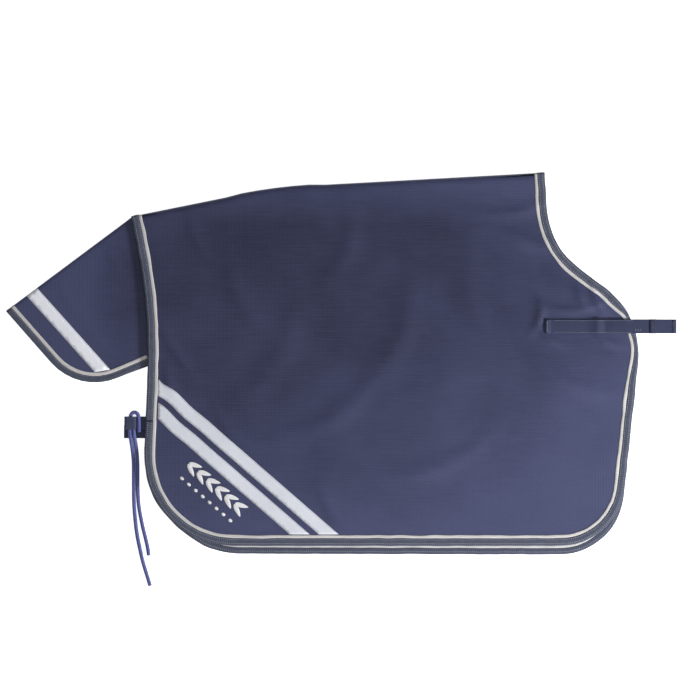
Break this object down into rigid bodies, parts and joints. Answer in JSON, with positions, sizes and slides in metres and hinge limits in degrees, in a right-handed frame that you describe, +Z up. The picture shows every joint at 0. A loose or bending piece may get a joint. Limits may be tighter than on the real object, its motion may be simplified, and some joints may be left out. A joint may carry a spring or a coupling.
{
  "type": "turnout rug",
  "caption": "Waterproof ride-on turnout rug folded along its back seam, with a cut-away front, touch-close strap, reflective tapes, tail flap and tail cords.",
  "frame": {"origin": "middle of the folded rug's plan box, on the floor it lies on (tail cords left out)", "axes": "+X towards the horse's front, +Y towards the back line, +Z up off the floor"},
  "size_m": [1.3052, 0.8055, 0.022],
  "materials": {
    "ripstop": "coated ripstop polyester, soft sheen",
    "lining": "brushed knit lining",
    "binding": "ribbed grosgrain tape",
    "piping": "flat woven piping",
    "reflective": "silver reflective tape, fine ribs",
    "webbing": "woven polypropylene webbing",
    "touch_tape": "hook-and-loop tape",
    "cord": "braided cord",
    "embroidery": "satin-stitch embroidery"
  },
  "bodies": {
    "off_body": {"off_shell": "ripstop", "off_lining": "lining", "off_binding": "binding", "off_piping": "piping", "off_strip_lower": "reflective", "off_strip_upper": "reflective", "off_landing": "touch_tape", "off_cord_tab": "webbing", "near_crown": "ripstop", "back_seam": "lining"},
    "near_body": {"near_shell": "ripstop", "near_lining": "lining", "near_binding": "binding", "near_piping": "piping", "near_strip_lower": "reflective", "near_strip_upper": "reflective", "near_plait": "embroidery", "near_plait_line": "embroidery", "near_strap_sewn": "webbing", "near_cord_loop": "webbing", "tail_cord_long": "cord", "tail_cord_short": "cord"},
    "strap_end": {"near_strap_end": "webbing", "near_strap_hook": "touch_tape"},
    "off_flap": {"off_flap_shell": "ripstop", "off_flap_lining": "lining", "off_flap_binding": "binding", "off_flap_piping": "piping", "off_flap_strip": "reflective"},
    "near_flap": {"near_flap_shell": "ripstop", "near_flap_lining": "lining", "near_flap_binding": "binding", "near_flap_piping": "piping", "near_flap_strip": "reflective"}
  },
  "joints": [
    {"name": "back_fold", "type": "hinge", "parent": "off_body", "child": "near_body", "pos_m": [-0.4003, 0.2912, 0.00945], "axis": [-0.9946, -0.1035, 0], "range_deg": [0, 75]},
    {"name": "off_flap_seam", "type": "hinge", "parent": "off_body", "child": "off_flap", "pos_m": [-0.4003, 0.2912, 0.00945], "axis": [-0.1409, 0.99, 0], "range_deg": [0, 26]},
    {"name": "flap_fold", "type": "hinge", "parent": "off_flap", "child": "near_flap", "pos_m": [-0.4003, 0.2912, 0.00945], "axis": [-0.8018, -0.5976, 0], "range_deg": [0, 87]},
    {"name": "strap_turn", "type": "hinge", "parent": "near_body", "child": "strap_end", "pos_m": [0.57358, 0.0727, 0.0208], "axis": [0, -1, 0], "range_deg": [0, 170]}
  ],
  "couplings": [
    {"joint": "off_flap_seam", "follows": "back_fold", "ratio": 0.34},
    {"joint": "flap_fold", "follows": "back_fold", "ratio": 1.15}
  ]
}
